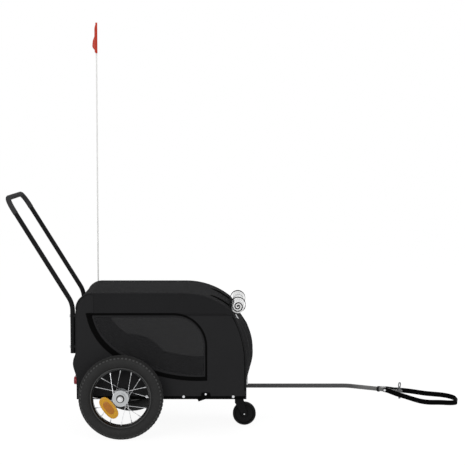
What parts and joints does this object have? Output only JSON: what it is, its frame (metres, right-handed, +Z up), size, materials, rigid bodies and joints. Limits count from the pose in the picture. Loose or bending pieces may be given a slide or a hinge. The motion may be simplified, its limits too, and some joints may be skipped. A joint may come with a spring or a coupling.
{
  "type": "dog bike trailer",
  "caption": "Cloth-covered dog trailer for a bicycle, with spoked wheels, caster, push handle, sliding tow bar with hitch pin and safety strap, mesh windows, rolled rain flap and flag.",
  "frame": {"origin": "on the ground, at the centre of the bounding box's footprint", "axes": "+X forward along the tow bar, +Y to the trailer's left (tow bar side), +Z up"},
  "size_m": [1.6506, 0.5694, 1.49],
  "materials": {
    "black_tube": "black powder coat",
    "grey_tube": "satin grey paint",
    "cover_cloth": "coated woven polyester",
    "mesh": "open polyester mesh",
    "webbing": "woven nylon webbing",
    "clear_film": "clear soft film",
    "tyre": "moulded rubber",
    "black_rim": "gloss black paint",
    "hub_shell": "polished",
    "zinc": "zinc plated",
    "seal": "blackened",
    "amber": "moulded prisms",
    "red": "moulded prisms",
    "white": "moulded prisms",
    "foam": "closed-cell foam",
    "black_plastic": "moulded",
    "board": "cloth-covered board",
    "pole": "pultruded glass-fibre rod",
    "pennant": "thin nylon",
    "cord": "coated cable"
  },
  "bodies": {
    "frame": {"front_cross_tube": "black_tube", "middle_cross_tube": "black_tube", "axle_cross_tube": "black_tube", "rear_cross_tube": "black_tube", "front_roof_bar": "black_tube", "rear_roof_bar": "black_tube", "floor_board": "board", "rail_bolts": "zinc", "handle_tube": "black_tube", "handle_grip": "foam", "handle_bolts": "zinc", "handle_end_caps": "black_plastic", "handle_saddles": "black_plastic", "rear_panel": "cover_cloth", "front_panel": "cover_cloth", "roof_cover": "cover_cloth", "rear_reflectors": "red", "front_reflector": "white", "rain_flap_roll": "clear_film", "cover_straps": "webbing", "caster_mount": "black_plastic", "tow_bar_sleeve": "black_tube", "flag_holder": "black_plastic", "left_axle": "zinc", "left_rail": "black_tube", "left_axle_plate": "black_tube", "left_hoop": "black_tube", "left_side_panel": "cover_cloth", "left_window_mesh": "mesh", "right_axle": "zinc", "right_rail": "black_tube", "right_axle_plate": "black_tube", "right_hoop": "black_tube", "right_side_panel": "cover_cloth", "right_window_mesh": "mesh"},
    "left_wheel": {"left_tyre": "tyre", "left_rim": "black_rim", "left_hub": "hub_shell", "left_bearings": "seal", "left_spokes": "zinc", "left_wheel_reflector": "amber"},
    "right_wheel": {"right_tyre": "tyre", "right_rim": "black_rim", "right_hub": "hub_shell", "right_bearings": "seal", "right_spokes": "zinc", "right_wheel_reflector": "amber"},
    "left_axle_button": {"left_button": "black_plastic"},
    "right_axle_button": {"right_button": "black_plastic"},
    "caster_swivel_fork": {"caster_fork": "black_plastic", "caster_axle": "zinc"},
    "caster_roller": {"caster_wheel": "black_plastic"},
    "clamp": {"clamp_knob": "black_plastic"},
    "tow_arm": {"tow_bar": "grey_tube", "safety_strap": "webbing", "strap_bolt": "zinc", "pin_tether": "cord"},
    "hitch": {"hitch_pin": "zinc"},
    "flag_staff": {"flag_pole": "pole", "flag": "pennant"}
  },
  "joints": [
    {"name": "left_wheel_spin", "type": "hinge", "parent": "frame", "child": "left_wheel", "pos_m": [-0.40781, 0.245, 0.15], "axis": [0, 1, 0], "continuous": true},
    {"name": "left_button_push", "type": "slide", "parent": "frame", "child": "left_axle_button", "axis": [0, -1, 0], "range_m": [0, 0.003], "stiffness_N_per_m": 800, "springref_m": -0.002},
    {"name": "right_wheel_spin", "type": "hinge", "parent": "frame", "child": "right_wheel", "pos_m": [-0.40781, -0.245, 0.15], "axis": [0, 1, 0], "continuous": true},
    {"name": "right_button_push", "type": "slide", "parent": "frame", "child": "right_axle_button", "axis": [0, 1, 0], "range_m": [0, 0.003], "stiffness_N_per_m": 800, "springref_m": -0.002},
    {"name": "caster_swivel", "type": "hinge", "parent": "frame", "child": "caster_swivel_fork", "pos_m": [0.00819, 0, 0.1], "axis": [0, 0, 1], "continuous": true},
    {"name": "caster_spin", "type": "hinge", "parent": "caster_swivel_fork", "child": "caster_roller", "pos_m": [0.02819, 0, 0.0425], "axis": [0, 1, 0], "continuous": true},
    {"name": "knob_turn", "type": "hinge", "parent": "frame", "child": "clamp", "pos_m": [-0.01281, 0.185, 0.09], "axis": [0, 0, -1], "range_deg": [0, 360]},
    {"name": "tow_bar_slide", "type": "slide", "parent": "frame", "child": "tow_arm", "axis": [1, 0, 0], "range_m": [0, 0.15]},
    {"name": "hitch_pin_pull", "type": "slide", "parent": "tow_arm", "child": "hitch", "axis": [0, 0, 1], "range_m": [0, 0.035], "deforming": ["pin_tether"]},
    {"name": "flag_lift", "type": "slide", "parent": "frame", "child": "flag_staff", "axis": [0, 0, 1], "range_m": [0, 0.085]}
  ]
}
